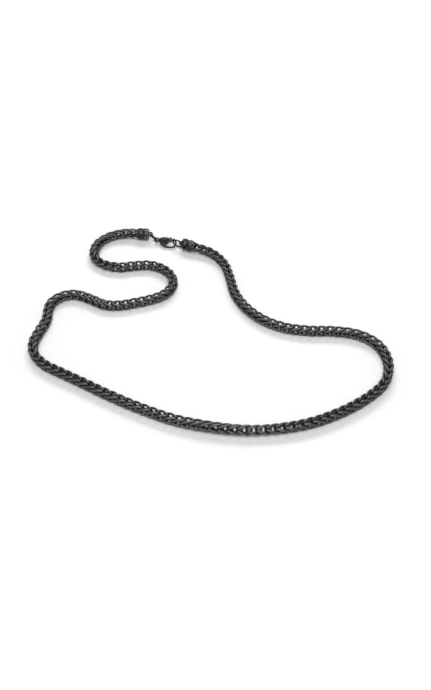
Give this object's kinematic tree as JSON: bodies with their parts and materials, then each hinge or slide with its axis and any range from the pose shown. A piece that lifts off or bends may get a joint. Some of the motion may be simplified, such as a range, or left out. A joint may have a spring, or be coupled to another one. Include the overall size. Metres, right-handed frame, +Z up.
{
  "type": "franco chain necklace",
  "caption": "Square franco chain necklace of interlocked folded wire links with square end caps and a lobster clasp, closed and lying in loose loops.",
  "frame": {"origin": "bottom centre of the whole necklace's box, on the surface that it lies on", "axes": "+Z up from the surface, +X to the right along the loop's longest side, +Y from the front of the loop to the clasp"},
  "size_m": [0.1818, 0.1548, 0.0075],
  "materials": {
    "chain": "black plated polished steel wire",
    "end_cap": "black plated cast steel",
    "jump_ring": "black plated steel wire",
    "clasp_body": "black plated cast steel",
    "clasp_pin": "black plated steel",
    "clasp_lever": "black plated cast steel"
  },
  "bodies": {
    "necklace": {"chain_left": "chain", "chain_right": "chain", "end_cap_left": "end_cap", "end_cap_right": "end_cap", "jump_ring_small": "jump_ring", "jump_ring_large": "jump_ring", "clasp_body": "clasp_body", "clasp_pin": "clasp_pin"},
    "lever": {"clasp_lever": "clasp_lever"}
  },
  "joints": [
    {"name": "clasp_lever_hinge", "type": "hinge", "parent": "necklace", "child": "lever", "pos_m": [-0.02634, 0.06892, 0.00238], "axis": [-0.1114, -0.3234, 0.9397], "range_deg": [-22, 0], "stiffness_Nm_per_rad": 0.001, "springref_deg": 14.32}
  ]
}
